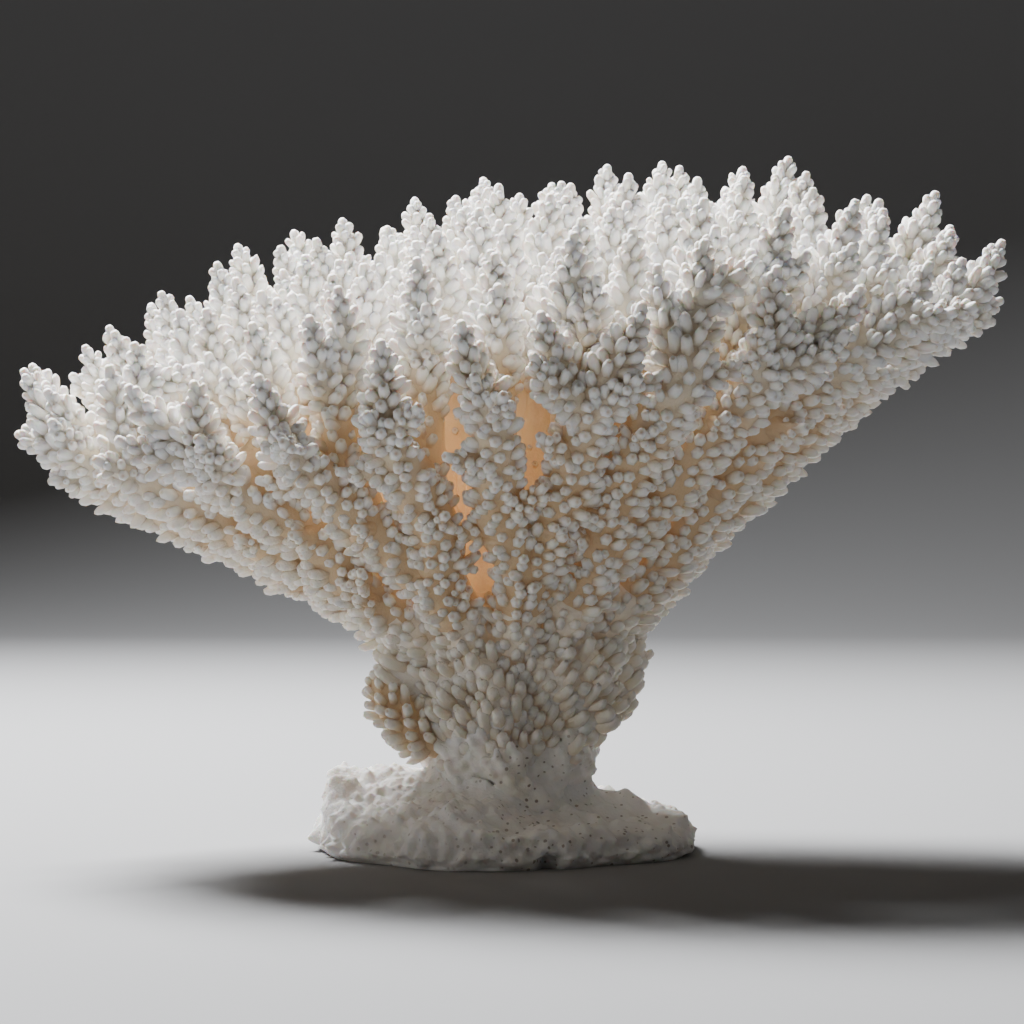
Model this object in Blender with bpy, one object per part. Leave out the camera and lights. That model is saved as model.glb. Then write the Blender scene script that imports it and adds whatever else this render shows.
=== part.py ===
"""A table coral: a wide, shallow vase of nubbly limbs on a trunk, standing on its own spread foot.

Metres, +Z up. The origin is on the flat underside of the foot, below the trunk. X runs along the
colony's long side, and -Y is the side that the foot's widest lip faces. Every limb is a tube along
a curved line that a growth rule works out, and lumps round the tubes stand for the coral's nubs.
"""

import math

import bpy
import numpy as np

# The colony's plan and heights
RIM_HALF_LENGTH = 0.143
RIM_HALF_DEPTH = 0.090
RIM_CENTRE_X = 0.0015
ROOT_HEIGHT = 0.026
RIM_HEIGHT = 0.140
RIM_RISE_X = 0.154
RIM_RISE_Y = 0.12
RIGHT_BEND = 1.38
LEFT_BEND = 0.56
TIP_HEIGHT = 0.183
TIP_RISE_X = 0.19
TIP_RISE_Y = 0.24
TIP_DOME = 0.95
TIP_SKEW = 1.6
RIM_DROP = 0.008

# How the colony branches
TIP_COUNT = 98
TIP_SPACING = 0.0230
GOLDEN_TURN = math.radians(137.508)
LIMB_COUNT = 12
INNER_COUNT = 6
ROOT_REACH = 0.08
STUB_REACH = 0.29
FORK_REACH = 0.38
TURN_UP_REACH = 0.84
INNER_SEAT = 0.14
INNER_REACH = 0.38
MIDDLE_REACH = 0.60
FINGER_LAG = 0.16
FORK_STUB_SHARE = 0.33
INNER_CUT_HEIGHT = 0.074
CUT_GAP = 0.0003
GROWTH_SEED = 11

# Outer radius of limbs and fingers, measured over the nubs, by distance from the tip
LIMB_RADIUS = 0.0090
SHAFT_RADIUS = 0.0068
TIP_PROFILE = ((0.0, 0.0032), (0.006, 0.0058), (0.016, 0.0078), (0.030, 0.0090), (0.044, 0.0082))
KNOB_PATH = ((-0.010, -0.004, 0.028), (-0.0365, -0.0125, 0.0515))
KNOB_PROFILE = ((0.0, 0.0042), (0.004, 0.0070), (0.012, 0.0080), (0.030, 0.0078))
KNOB_CUT_X = -0.0310
KNOB_DENT = 0.20
NEIGHBOUR_GAP = 0.0008
LEAST_RADIUS = 0.0034
ROOT_TAPER = 0.75
ROOTED_SAMPLES = 6

# Facets
TUBE_SIDES = 4
LUMP_DEPTH = 0.36
LUMP_LIFT = 0.0022
TIP_RINGS = (0.0, 0.0075, 0.0140, 0.0230, 0.0310)
SHAFT_RING_STEP = 0.045
LIMB_RING_STEP = 0.026

# Trunk and foot
TRUNK_RINGS = (
    (0.0145, 0.0215, 0.0195, 0.0010),
    (0.0260, 0.0262, 0.0215, 0.0020),
    (0.0400, 0.0325, 0.0245, 0.0025),
    (0.0520, 0.0375, 0.0265, 0.0015),
    (0.0605, 0.0395, 0.0275, 0.0010),
    (0.0660, 0.0300, 0.0200, 0.0010),
)
TRUNK_SIDES = 18
TRUNK_FLUTE = 0.08
SEAT_HEIGHT = TRUNK_RINGS[0][0] - CUT_GAP
SEAT_RADIUS = 0.0225
FOOT_SIDES = 22
FOOT_CENTRE = (-0.001, -0.004)
FOOT_EDGE = 0.0065
FOOT_MOUNDS = (
    (-0.037, 0.004, 0.016, 0.0155),
    (-0.020, -0.030, 0.014, 0.0050),
    (0.031, 0.002, 0.013, 0.0062),
    (0.012, 0.030, 0.016, 0.0060),
    (0.010, -0.036, 0.016, 0.0025),
)
FOOT_LIP = 0.0085

CORAL_WHITE = (0.90, 0.88, 0.83, 1.0)
FOOT_WHITE = (0.86, 0.84, 0.80, 1.0)
CORAL_ROUGHNESS = 0.6


def unit(vectors):
    """Vectors scaled to length one."""
    vectors = np.asarray(vectors, float)
    return vectors / np.linalg.norm(vectors, axis=-1, keepdims=True)


def rim_turns(count, phase):
    """Turns that share out the rim, an oval seen from above, into equal lengths."""
    t = np.linspace(0, 2 * math.pi, 721)
    x, y = RIM_HALF_LENGTH * np.cos(t), RIM_HALF_DEPTH * np.sin(t)
    run = np.concatenate([[0], np.cumsum(np.hypot(np.diff(x), np.diff(y)))])
    return np.interp((np.arange(count) + phase) / count % 1, run / run[-1], t)


def turn_gap(one, other):
    """The signed turn from one to the other, the short way round."""
    return (other - one + math.pi) % (2 * math.pi) - math.pi


def plan(reach, turn):
    """The place in plan at a reach from the trunk, 0, to the rim, 1."""
    x = (RIM_CENTRE_X + RIM_HALF_LENGTH * math.cos(turn)) * reach
    return x, RIM_HALF_DEPTH * reach * math.sin(turn)


def limb_point(reach, turn):
    """A point on an outer limb's line. It climbs longer on the right and levels out early on the left."""
    x, y = plan(reach, turn)
    rim_x, rim_y = plan(1.0, turn)
    rim = RIM_HEIGHT + RIM_RISE_X * rim_x + RIM_RISE_Y * rim_y
    right = 0.5 + 0.5 * math.cos(turn)
    climbed = right * (1 - (1 - reach) ** RIGHT_BEND) + (1 - right) * reach**LEFT_BEND
    return np.array([x, y, ROOT_HEIGHT + (rim - ROOT_HEIGHT) * climbed])


def canopy(x, y):
    """Height of the finger tips above the plan: a low dome, higher at the back and right."""
    return TIP_HEIGHT + TIP_RISE_X * x + TIP_RISE_Y * y - TIP_DOME * x**2 - TIP_SKEW * x**3


def bend(start, start_way, end, end_way, count=24):
    """A curve from one point and direction to another."""
    t = np.linspace(0, 1, count)[:, None]
    span = np.linalg.norm(end - start)
    start_part = (2 * t**3 - 3 * t**2 + 1) * start + (t**3 - 2 * t**2 + t) * span * start_way
    end_part = (3 * t**2 - 2 * t**3) * end + (t**3 - t**2) * span * end_way
    return start_part + end_part


def lengths(points):
    """The distance run along a line at each of its points."""
    return np.concatenate([[0], np.cumsum(np.linalg.norm(np.diff(points, axis=0), axis=1))])


def point_at(points, run):
    """The points at given distances along a line."""
    along = lengths(points)
    return np.stack([np.interp(run, along, points[:, i]) for i in range(3)], axis=-1)


def way_at(points, run):
    """The direction of a line at a distance along it."""
    step = 0.002
    return unit(point_at(points, run + step) - point_at(points, run - step))


def even_tips(draw):
    """Finger tips in plan: a sunflower spiral over the oval, whose points then push apart."""
    order = np.arange(TIP_COUNT)
    reach = np.sqrt((order + 0.5) / TIP_COUNT)
    turn = order * GOLDEN_TURN
    size = np.array([RIM_HALF_LENGTH, RIM_HALF_DEPTH])
    places = reach[:, None] * np.stack([np.cos(turn), np.sin(turn)], axis=1) * size
    places = places + draw.uniform(-0.004, 0.004, places.shape)
    for _ in range(60):
        away = places[:, None] - places[None]
        apart = np.linalg.norm(away, axis=2) + np.eye(TIP_COUNT)
        push = 0.2 * np.clip(TIP_SPACING - apart, 0, None) / apart
        places = places + (away * push[..., None]).sum(axis=1)
        over = np.linalg.norm(places / size, axis=1, keepdims=True)
        places = places / np.maximum(over, 1)
    places = places * (1 + draw.uniform(-0.03, 0.012, (TIP_COUNT, 1)))
    return places + np.array([RIM_CENTRE_X, 0])


def tip_stands(draw):
    """Every finger tip's place, reach and turn in plan, its point in space and its lean."""
    places = even_tips(draw)
    x, y = places[:, 0], places[:, 1]
    across, deep = x / RIM_HALF_LENGTH, y / RIM_HALF_DEPTH
    reach, turn = np.hypot(across, deep), np.arctan2(deep, across)
    drop = RIM_DROP * np.clip((reach - 0.8) / 0.2, 0, 1) * (1 - 0.8 * deep + 0.5 * across)
    height = canopy(x, y) - drop + draw.uniform(-0.006, 0.004, TIP_COUNT)
    lean = 4 + (27 - 6 * np.cos(turn)) * reach**2 + draw.uniform(-5, 5, TIP_COUNT)
    tilt = np.radians(lean)
    away = np.stack([x, y * 1.3], axis=1)
    away = away / (np.linalg.norm(away, axis=1, keepdims=True) + 1e-9)
    way = np.column_stack([away * np.sin(tilt)[:, None], np.cos(tilt)])
    return reach, turn, np.column_stack([x, y, height]), way


def limb_lines(turn, ends, wave):
    """An outer limb's line out to its fork, and its two arms' lines to where they turn up."""
    reaches = np.linspace(ROOT_REACH, FORK_REACH, 20)
    line = np.array([limb_point(r, turn + wave * math.sin(3.2 * r)) for r in reaches])
    arms = []
    for end in ends:
        steps = np.linspace(0, 1, 16)
        reaches = FORK_REACH + (TURN_UP_REACH - FORK_REACH) * steps
        turns = turn + turn_gap(turn, end) * (1 - (1 - np.minimum(1, steps * 2.1)) ** 2)
        run_out = np.array([limb_point(r, a) for r, a in zip(reaches, turns)])
        arms.append(run_out + line[-1] - run_out[0])
    return line, arms


def finger(line, run, tip, tip_way):
    """A finger's line, from inside the limb that bears it up to its tip."""
    start_way = unit(way_at(line, run) + np.array([0, 0, 1.1]))
    return bend(point_at(line, run), start_way, tip, tip_way)


def grow():
    """The colony's lines: a list of tubes, each with its node, line, span and kind."""
    draw = np.random.default_rng(GROWTH_SEED)
    reach, turn, tips, ways = tip_stands(draw)
    waves = draw.uniform(-0.06, 0.06, LIMB_COUNT)
    limb_turns = rim_turns(LIMB_COUNT, 0.12)
    arm_turns = rim_turns(2 * LIMB_COUNT, 0.24 - 0.5)
    seats = [plan(INNER_SEAT, k * 2 * math.pi / INNER_COUNT + 0.3) for k in range(INNER_COUNT)]
    own_arm = np.argmin(np.abs(turn_gap(turn[:, None], arm_turns)), axis=1)
    own_limb = np.argmin(np.abs(turn_gap(turn[:, None], limb_turns)), axis=1)
    apart = np.linalg.norm(tips[:, None, :2] - np.array(seats)[None], axis=2)
    own_seat = np.argmin(apart, axis=1)
    tubes = []

    def add(node, line, first, last, kind):
        last = lengths(line)[-1] if last is None else last
        tubes.append(dict(node=node, line=line, span=(first, last), kind=kind))

    for k, limb_turn in enumerate(limb_turns):
        name = f"limb_{k + 1:02d}"
        ends = arm_turns[2 * k : 2 * k + 2]
        line, arms = limb_lines(limb_turn, ends, waves[k])
        along = lengths(line)
        reaches = np.linspace(ROOT_REACH, FORK_REACH, 20)
        cut = np.interp(STUB_REACH, reaches, along)
        for j, run_out in enumerate(arms):
            node = f"{name}_{'ab'[j]}"
            mine = np.flatnonzero((own_arm == 2 * k + j) & (reach >= MIDDLE_REACH))
            mine = mine[np.argsort(-reach[mine])]
            way = unit(run_out[-1] - run_out[-2])
            rise = bend(run_out[-1], way, tips[mine[0]], ways[mine[0]], 14)
            out = lengths(run_out)[-1]
            stub = FORK_STUB_SHARE * out
            if j == 0:
                arm = np.vstack([line, run_out[1:], rise[1:]])
                fork = along[-1]
                add("trunk", arm, 0.0, cut, "stub")
                add(name, arm, cut + CUT_GAP, fork + stub, "limb")
            else:
                arm = np.vstack([run_out, rise[1:]])
                fork = 0.0
                add(name, arm, 0.0, stub, "stub")
            add(node, arm, fork + stub + CUT_GAP, None, "rim")
            for i in mine[1:]:
                share = (reach[i] - FINGER_LAG - FORK_REACH) / (TURN_UP_REACH - FORK_REACH)
                run = fork + min(max(share * out, stub + 0.009), out - 0.002)
                add(node, finger(arm, run, tips[i], ways[i]), 0.0, None, "finger")
        for i in np.flatnonzero((own_limb == k) & (reach >= INNER_REACH) & (reach < MIDDLE_REACH)):
            run = np.interp(reach[i] - FINGER_LAG, reaches, along)
            run = min(max(run, cut + 0.008), along[-1] - 0.003)
            add(name, finger(line, run, tips[i], ways[i]), 0.0, None, "finger")

    for k, (x, y) in enumerate(seats):
        node = f"inner_limb_{k + 1}"
        start = np.array([0.70 * x, 0.70 * y, 0.042])
        split = np.array([1.50 * x, 1.50 * y, 0.124 + 0.10 * y])
        line = bend(start, unit([x, y, 0.03]), split, unit([0.2 * x, 0.2 * y, 0.03]))
        cut = np.interp(INNER_CUT_HEIGHT, line[:, 2], lengths(line))
        add("trunk", line, 0.0, cut, "stub")
        add(node, line, cut + CUT_GAP, None, "limb")
        mine = np.flatnonzero((own_seat == k) & (reach < INNER_REACH))
        for step, i in enumerate(mine):
            run = lengths(line)[-1] - 0.006 - 0.006 * step
            side = unit(np.append(tips[i, :2] - split[:2], 0.012))
            add(node, bend(point_at(line, run), side, tips[i], ways[i]), 0.0, None, "finger")

    start, end = np.array(KNOB_PATH)
    knob = bend(start, unit([-1.0, -0.25, 0.22]), end, unit([-0.25, -0.05, 1.0]))
    cut = np.interp(-KNOB_CUT_X, -knob[:, 0], lengths(knob))
    add("trunk", knob, 0.0, cut, "knob_stub")
    add("low_branch", knob, cut + CUT_GAP, None, "knob")
    return tubes


def wanted_radius(tube, run):
    """Radius over the nubs at distances along a tube's line, before its neighbours press on it."""
    from_tip = lengths(tube["line"])[-1] - run
    if tube["kind"] in ("knob", "knob_stub"):
        return np.interp(from_tip, *zip(*KNOB_PROFILE))
    body = SHAFT_RADIUS if tube["kind"] == "finger" else LIMB_RADIUS
    if tube["kind"] in ("finger", "rim"):
        depths, radii = zip(*TIP_PROFILE)
        fade = np.clip((from_tip - depths[-1]) / 0.015, 0, 1)
        return np.interp(from_tip, depths, radii) * (1 - fade) + body * fade
    return np.full_like(run, body)


def ring_runs(tube):
    """Where a tube's rings go: close together near a tip, where the nubs are, and wider below."""
    first, last = tube["span"]
    whole = last - first
    if tube["kind"] in ("finger", "rim"):
        depths = [d for d in TIP_RINGS if d < whole - 0.006]
        step = SHAFT_RING_STEP if tube["kind"] == "finger" else LIMB_RING_STEP
        rest = whole - depths[-1]
        extra = max(1, round(rest / step))
        depths = depths + [depths[-1] + rest * (k + 1) / extra for k in range(extra)]
        return last - np.array(depths)[::-1]
    bands = {"stub": 1, "limb": 4, "knob": 4, "knob_stub": 1}[tube["kind"]]
    return np.linspace(first, last, bands + 1)


def crowd(tubes):
    """Give each tube its rings, and at each ring the radius that other nodes' tubes leave it."""
    for tube in tubes:
        tube["run"] = ring_runs(tube)
        tube["at"] = point_at(tube["line"], tube["run"])
        fine = np.linspace(0, len(tube["run"]) - 1, 12 * (len(tube["run"]) - 1) + 1)
        tube["fine"] = fine
        order = np.arange(len(tube["run"]))
        tube["fine_at"] = np.stack([np.interp(fine, order, tube["at"][:, i]) for i in range(3)], 1)
        tube["radius"] = wanted_radius(tube, tube["run"])
        if tube["kind"] == "stub":
            tube["radius"][0] *= ROOT_TAPER
    for tube in tubes:
        room = np.full(len(tube["fine"]), 1.0)
        for other in tubes:
            if other["node"] == tube["node"] or other["line"] is tube["line"]:
                continue
            outside = other["fine_at"][ROOTED_SAMPLES * (other["kind"] == "finger") :]
            away = np.linalg.norm(tube["fine_at"][:, None] - outside[None], axis=2)
            room = np.minimum(room, away.min(axis=1) / 2 - NEIGHBOUR_GAP)
        order = np.arange(len(tube["run"]))
        near = np.abs(tube["fine"][None] - order[:, None]) <= 0.6
        tube["room"] = np.array([room[row].min() for row in near])
    for tube in tubes:
        for other in tubes:
            if other["line"] is tube["line"] and other is not tube:
                first, second = (tube, other) if tube["span"][0] < other["span"][0] else (other, tube)
                shared = min(first["room"][-1], second["room"][0])
                first["room"][-1] = second["room"][0] = shared
    for tube in tubes:
        tube["radius"] = np.maximum(np.minimum(tube["radius"], tube["room"]), LEAST_RADIUS)
    return tubes


def ring_frames(points):
    """Two side directions for each point of a line, carried along it without twisting."""
    ways = unit(np.gradient(points, axis=0))
    side = unit(np.cross(ways[0], [0.31, 0.95, 0.07]))
    sides = []
    for way in ways:
        side = unit(side - way * np.dot(side, way))
        sides.append(side)
    sides = np.array(sides)
    return ways, sides, np.cross(ways, sides)


def tube_mesh(tube):
    """A closed tube of nubbly whorls: rings by turns wide and narrow, each turned half a side."""
    run = tube["run"]
    ways, sides, ups = ring_frames(tube["line"])
    along = lengths(tube["line"])
    way = unit(np.stack([np.interp(run, along, ways[:, i]) for i in range(3)], axis=-1))
    side = np.stack([np.interp(run, along, sides[:, i]) for i in range(3)], axis=-1)
    side = unit(side - way * np.sum(side * way, axis=1, keepdims=True))
    up = np.cross(way, side)
    verts = []
    last = len(run) - 1
    for k in range(len(run)):
        end = k in (0, last)
        wide = (last - k) % 2 == 1
        radius = tube["radius"][k] * (1.0 if end or wide else 1.0 - LUMP_DEPTH)
        lift = LUMP_LIFT if wide and not end else 0.0
        for j in range(TUBE_SIDES):
            turn = 2 * math.pi * (j + 0.5 * k) / TUBE_SIDES
            spoke = side[k] * math.cos(turn) + up[k] * math.sin(turn)
            verts.append(tube["at"][k] + spoke * radius + way[k] * lift)
    return new_mesh(verts, ring_faces(last + 1, TUBE_SIDES, False))


def ring_faces(rows, sides, crossing):
    """Triangles between rings of corners, with crossing or with parallel diagonals, and end faces."""
    faces = []
    for k in range(rows - 1):
        for j in range(sides):
            a, b = k * sides + j, k * sides + (j + 1) % sides
            c, d = b + sides, a + sides
            if (j + k) % 2 == 0 or not crossing:
                faces += [(a, b, d), (b, c, d)]
            else:
                faces += [(a, b, c), (a, c, d)]
    faces.append(tuple(range(sides))[::-1])
    faces.append(tuple(range((rows - 1) * sides, rows * sides)))
    return faces


def new_mesh(verts, faces):
    """A Blender mesh from points and faces."""
    mesh = bpy.data.meshes.new("shape")
    mesh.from_pydata([tuple(v) for v in verts], [], faces)
    mesh.validate()
    return mesh


def trunk_core():
    """The trunk's middle: an oval form that widens upward, fluted where the limbs run into it."""
    verts = []
    turns = rim_turns(TRUNK_SIDES, 0.24)
    last = len(TRUNK_RINGS) - 1
    for k, (z, half_x, half_y, shift) in enumerate(TRUNK_RINGS):
        for j, turn in enumerate(turns):
            flute = 1.0 if k in (0, last) else 1.0 + TRUNK_FLUTE * (-1) ** (j + k)
            dent = KNOB_DENT * math.exp(-((turn_gap(turn, 3.45) / 0.5) ** 2)) * (k in (2, 3, 4))
            wide = flute - dent
            verts.append((shift + half_x * wide * math.cos(turn), half_y * wide * math.sin(turn), z))
    return new_mesh(verts, ring_faces(last + 1, TRUNK_SIDES, True))


def foot_outline(turn):
    """The foot's edge radius, an uneven round, by the angle in radians."""
    return (
        0.0525
        + 0.0022 * math.cos(2 * turn + 0.2)
        + 0.0018 * math.sin(3 * turn + 0.9)
        + 0.0013 * math.cos(5 * turn + 2.1)
        + 0.0009 * math.sin(9 * turn)
    )


def foot_height(x, y):
    """The foot's upper surface: a thin lip with low mounds on it."""
    z = FOOT_LIP
    for mound_x, mound_y, spread, rise in FOOT_MOUNDS:
        z += rise * math.exp(-((x - mound_x) ** 2 + (y - mound_y) ** 2) / (2 * spread**2))
    return z


def foot_mesh():
    """The foot: a flat underside, a rough edge, mounds, and a flat seat where the trunk stands."""
    shares = (1.0, 0.97, 0.84, 0.68, 0.54)
    verts = []
    for k, share in enumerate((0.965,) + shares):
        for j in range(FOOT_SIDES):
            turn = 2 * math.pi * j / FOOT_SIDES
            radius = foot_outline(turn) * share
            x = FOOT_CENTRE[0] + radius * math.cos(turn)
            y = FOOT_CENTRE[1] + radius * math.sin(turn)
            z = (0.0, FOOT_EDGE * 0.6)[k] if k < 2 else foot_height(x, y)
            z = z * 0.86 if k == 2 else z
            verts.append((x, y, z))
    for j in range(FOOT_SIDES):
        turn = 2 * math.pi * j / FOOT_SIDES
        verts.append((SEAT_RADIUS * math.cos(turn), SEAT_RADIUS * math.sin(turn), SEAT_HEIGHT))
    return new_mesh(verts, ring_faces(len(verts) // FOOT_SIDES, FOOT_SIDES, True))


def coral_material(name, colour):
    """Dull white coral stone."""
    material = bpy.data.materials.new(name)
    material.use_nodes = True
    shader = material.node_tree.nodes["Principled BSDF"]
    shader.inputs["Base Color"].default_value = colour
    shader.inputs["Roughness"].default_value = CORAL_ROUGHNESS
    shader.inputs["Metallic"].default_value = 0.0
    material.diffuse_color = colour
    return material


def place(name, mesh):
    """An object with that mesh, in the scene."""
    thing = bpy.data.objects.new(name, mesh)
    bpy.context.scene.collection.objects.link(thing)
    return thing


def fuse(name, meshes, material):
    """One solid from closed meshes that run into each other."""
    solid = place(name, meshes[0])
    helpers = [place(f"{name}_joined_{k}", mesh) for k, mesh in enumerate(meshes[1:])]
    for helper in helpers:
        union = solid.modifiers.new("union", "BOOLEAN")
        union.operation = "UNION"
        union.solver = "EXACT"
        union.object = helper
    bpy.context.view_layer.update()
    seen = solid.evaluated_get(bpy.context.evaluated_depsgraph_get())
    joined = bpy.data.meshes.new_from_object(seen)
    solid.modifiers.clear()
    solid.data = joined
    for helper in helpers:
        bpy.data.objects.remove(helper)
    joined.materials.clear()
    joined.materials.append(material)
    return solid


def main():
    for thing in list(bpy.data.objects):
        bpy.data.objects.remove(thing)
    coral = coral_material("coral_white", CORAL_WHITE)
    foot_stone = coral_material("foot_white", FOOT_WHITE)
    fuse("foot", [foot_mesh()], foot_stone)
    tubes = crowd(grow())
    nodes = {}
    for tube in tubes:
        nodes.setdefault(tube["node"], []).append(tube_mesh(tube))
    nodes["trunk"].insert(0, trunk_core())
    for name, meshes in nodes.items():
        fuse(name, meshes, coral)


main()
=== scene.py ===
import math
from functools import partial

import bpy
import numpy as np
from numpy.linalg import norm
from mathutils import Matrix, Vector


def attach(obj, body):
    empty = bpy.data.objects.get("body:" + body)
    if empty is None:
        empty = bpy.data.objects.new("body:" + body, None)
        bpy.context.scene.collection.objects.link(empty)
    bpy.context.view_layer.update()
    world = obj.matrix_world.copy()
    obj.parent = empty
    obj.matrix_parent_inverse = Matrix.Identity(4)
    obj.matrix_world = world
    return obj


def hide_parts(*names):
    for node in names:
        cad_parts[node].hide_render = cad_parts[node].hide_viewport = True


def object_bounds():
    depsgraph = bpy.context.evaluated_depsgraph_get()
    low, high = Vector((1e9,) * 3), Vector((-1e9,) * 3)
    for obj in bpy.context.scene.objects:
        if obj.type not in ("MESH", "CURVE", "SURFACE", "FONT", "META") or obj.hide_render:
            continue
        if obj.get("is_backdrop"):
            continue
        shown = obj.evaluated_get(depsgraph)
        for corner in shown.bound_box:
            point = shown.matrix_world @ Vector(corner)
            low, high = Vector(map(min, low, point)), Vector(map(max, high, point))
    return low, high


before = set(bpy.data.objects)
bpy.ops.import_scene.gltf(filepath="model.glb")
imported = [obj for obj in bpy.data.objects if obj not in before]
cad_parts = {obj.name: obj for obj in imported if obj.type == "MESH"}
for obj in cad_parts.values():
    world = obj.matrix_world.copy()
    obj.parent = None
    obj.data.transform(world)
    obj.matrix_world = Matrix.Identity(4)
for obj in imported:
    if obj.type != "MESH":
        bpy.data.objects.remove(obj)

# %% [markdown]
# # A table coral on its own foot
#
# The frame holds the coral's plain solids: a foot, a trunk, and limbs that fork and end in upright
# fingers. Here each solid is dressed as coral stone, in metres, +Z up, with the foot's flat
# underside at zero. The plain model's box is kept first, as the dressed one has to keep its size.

cad_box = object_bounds()
cad_size = np.subtract(cad_box[1], cad_box[0]).round(4)
print("plain model", cad_size, "m,", len(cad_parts), "nodes")

# %% [markdown]
# ## Small tools for lines
#
# A coral limb is a stem along a curved line, so most of the work is done on lines: arrays of points
# in order. The tools here give unit vectors, the distance run along a line, the points at some
# distances, and a smooth curve between two points with a direction at each.

# %% Line tools


def unit(vectors):
    """Vectors scaled to length one."""
    vectors = np.asarray(vectors, float)
    return vectors / norm(vectors, axis=-1, keepdims=True)


def soft_step(value, low, high):
    """0 below low, 1 above high, and an S-shaped rise between: 3t squared less 2t cubed."""
    t = np.clip((value - low) / (high - low), 0, 1)
    return t * t * (3 - 2 * t)


def lengths(points):
    """The distance run along a line at each of its points."""
    return np.concatenate([[0], np.cumsum(norm(np.diff(points, axis=0), axis=1))])


def point_at(points, run):
    """The points at given distances along a line."""
    along = lengths(points)
    return np.stack([np.interp(run, along, points[:, i]) for i in range(3)], axis=-1)


def way_at(points, run):
    """The direction of a line at distances along it, from points 2 mm before and after."""
    return unit(point_at(points, run + 0.002) - point_at(points, run - 0.002))


def bend(start, start_way, end, end_way, count=24):
    """A cubic curve from one point and direction to another."""
    t = np.linspace(0, 1, count)[:, None]
    span = norm(end - start)
    start_part = (2 * t**3 - 3 * t**2 + 1) * start + (t**3 - 2 * t**2 + t) * span * start_way
    end_part = (3 * t**2 - 2 * t**3) * end + (t**3 - t**2) * span * end_way
    return start_part + end_part


print("soft step at a quarter of the way:", soft_step(0.25, 0, 1))

# %% [markdown]
# ## The colony's plan
#
# Seen from above the colony is an oval. `plan` turns a reach, 0 at the trunk and 1 at the rim, and
# a turn round the oval into a place. `limb_point` lifts the outer limbs: steep near the trunk, then
# leaning out, higher on the right and at the back. `canopy` is the soft dome that the finger tips
# reach. The numbers are the plain model's own.

# %% The oval, the limbs' heights and the canopy
RIM_HALF_LENGTH, RIM_HALF_DEPTH, RIM_CENTRE_X = 0.143, 0.090, 0.0015
ROOT_HEIGHT, RIM_HEIGHT, RIM_RISE_X, RIM_RISE_Y = 0.026, 0.140, 0.154, 0.12
RIGHT_BEND, LEFT_BEND = 1.38, 0.56
TIP_HEIGHT, TIP_RISE_X, TIP_RISE_Y, TIP_DOME, TIP_SKEW = 0.183, 0.19, 0.24, 0.95, 1.6
RIM_DROP = 0.008


def turn_gap(one, other):
    """The signed turn from one to the other, the short way round."""
    return (other - one + math.pi) % (2 * math.pi) - math.pi


def rim_turns(count, phase):
    """Turns that share out the rim, an oval seen from above, into equal lengths."""
    t = np.linspace(0, 2 * math.pi, 721)
    x, y = RIM_HALF_LENGTH * np.cos(t), RIM_HALF_DEPTH * np.sin(t)
    run = np.concatenate([[0], np.cumsum(np.hypot(np.diff(x), np.diff(y)))])
    return np.interp((np.arange(count) + phase) / count % 1, run / run[-1], t)


def plan(reach, turn):
    """The place in plan at a reach from the trunk, 0, to the rim, 1."""
    x = (RIM_CENTRE_X + RIM_HALF_LENGTH * np.cos(turn)) * reach
    return x, RIM_HALF_DEPTH * reach * np.sin(turn)


def limb_point(reach, turn):
    """Points on an outer limb's line: on the left height is a power of reach, on the right it is
    one less a power of what is left of the reach, and in between it is a mix of the two."""
    x, y = plan(reach, turn)
    rim_x, rim_y = plan(1.0, turn)
    rim = RIM_HEIGHT + RIM_RISE_X * rim_x + RIM_RISE_Y * rim_y
    right = 0.5 + 0.5 * np.cos(turn)
    climbed = right * (1 - (1 - reach) ** RIGHT_BEND) + (1 - right) * reach**LEFT_BEND
    return np.stack([x, y, ROOT_HEIGHT + (rim - ROOT_HEIGHT) * climbed], axis=-1)


def canopy(x, y):
    """Height of the finger tips above the plan: a low dome, higher at the back and right."""
    return TIP_HEIGHT + TIP_RISE_X * x + TIP_RISE_Y * y - TIP_DOME * x**2 - TIP_SKEW * x**3


print("rim limb at the left and right:", limb_point(1.0, np.array([math.pi, 0.0])).round(3).tolist())
print("canopy at the front, middle and back:", np.round(canopy(0, np.array([-0.08, 0, 0.08])), 3))

# %% [markdown]
# ## Where the finger tips stand
#
# Fingers crowd until each has its patch of light, so they stand evenly but never in rows. A
# sunflower spiral gives the crowd; then close neighbours push each other apart for a few rounds.
# Each tip also gets a lean: nearly upright in the middle, outward at the rim.

# %% Spread the tips
TIP_COUNT, TIP_SPACING = 98, 0.0230
GOLDEN_TURN = math.radians(137.508)
GROWTH_SEED = 11


def even_tips(draw):
    """Finger tips in plan: a sunflower spiral over the oval, whose points then push apart."""
    order = np.arange(TIP_COUNT)
    reach = np.sqrt((order + 0.5) / TIP_COUNT)
    turn = order * GOLDEN_TURN
    size = np.array([RIM_HALF_LENGTH, RIM_HALF_DEPTH])
    places = reach[:, None] * np.stack([np.cos(turn), np.sin(turn)], axis=1) * size
    places = places + draw.uniform(-0.004, 0.004, places.shape)
    for _ in range(60):
        away = places[:, None] - places[None]
        apart = norm(away, axis=2) + np.eye(TIP_COUNT)
        push = 0.2 * np.clip(TIP_SPACING - apart, 0, None) / apart
        places = places + (away * push[..., None]).sum(axis=1)
        over = norm(places / size, axis=1, keepdims=True)
        places = places / np.maximum(over, 1)
    places = places * (1 + draw.uniform(-0.03, 0.012, (TIP_COUNT, 1)))
    return places + np.array([RIM_CENTRE_X, 0])


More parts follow.
